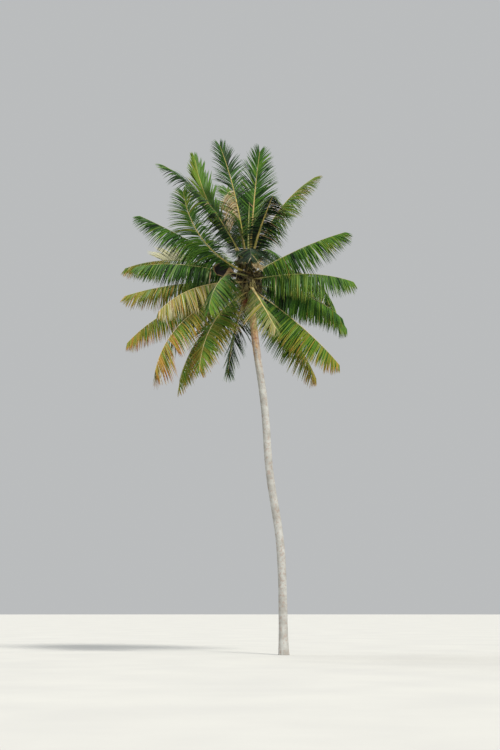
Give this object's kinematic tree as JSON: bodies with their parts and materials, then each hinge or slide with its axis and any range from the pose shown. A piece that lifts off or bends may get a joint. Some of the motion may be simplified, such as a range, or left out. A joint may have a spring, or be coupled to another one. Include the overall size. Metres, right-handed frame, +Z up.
{
  "type": "coconut palm",
  "caption": "Tall coconut palm with a slim leaning ringed trunk, a root flare, and a full crown of arching feather fronds, green above and yellowing below.",
  "frame": {"origin": "centre of the trunk's flat cut at ground level", "axes": "+Z up, -Y toward the front of the pictured view, +X to its right"},
  "size_m": [8.6133, 8.2272, 18.5081],
  "materials": {
    "trunk": "rough grey bark with leaf scars",
    "frond_young": "satin leaf",
    "frond_grown": "satin leaf",
    "frond_old": "satin leaf, yellowing",
    "spear_leaf": "satin leaf",
    "fresh_flowers": "matt",
    "dried_flowers": "matt, dry",
    "spray_sheath": "dry wood"
  },
  "bodies": {
    "root": {"trunk": "trunk", "frond_01": "frond_young", "frond_02": "frond_young", "frond_03": "frond_young", "frond_04": "frond_young", "frond_05": "frond_young", "frond_06": "frond_young", "frond_07": "frond_young", "frond_08": "frond_young", "frond_09": "frond_young", "frond_10": "frond_young", "frond_11": "frond_grown", "frond_12": "frond_grown", "frond_13_inner": "frond_grown", "frond_13_outer": "frond_grown", "frond_14": "frond_grown", "frond_15_inner": "frond_grown", "frond_15_outer": "frond_grown", "frond_16": "frond_grown", "frond_17": "frond_grown", "frond_18_inner": "frond_grown", "frond_18_outer": "frond_grown", "frond_19": "frond_grown", "frond_20": "frond_grown", "frond_21": "frond_grown", "frond_22": "frond_grown", "frond_23": "frond_grown", "frond_24": "frond_old", "frond_25": "frond_old", "frond_26": "frond_old", "frond_27": "frond_old", "frond_28": "frond_old", "frond_29": "frond_old", "frond_30": "frond_old", "frond_31": "frond_old", "frond_32": "frond_old", "frond_33": "frond_old", "frond_34": "frond_old", "spear_leaf": "spear_leaf", "fresh_flower_spray": "fresh_flowers", "dried_flower_spray": "dried_flowers", "spray_sheath_left": "spray_sheath", "spray_sheath_front": "spray_sheath"}
  },
  "joints": []
}
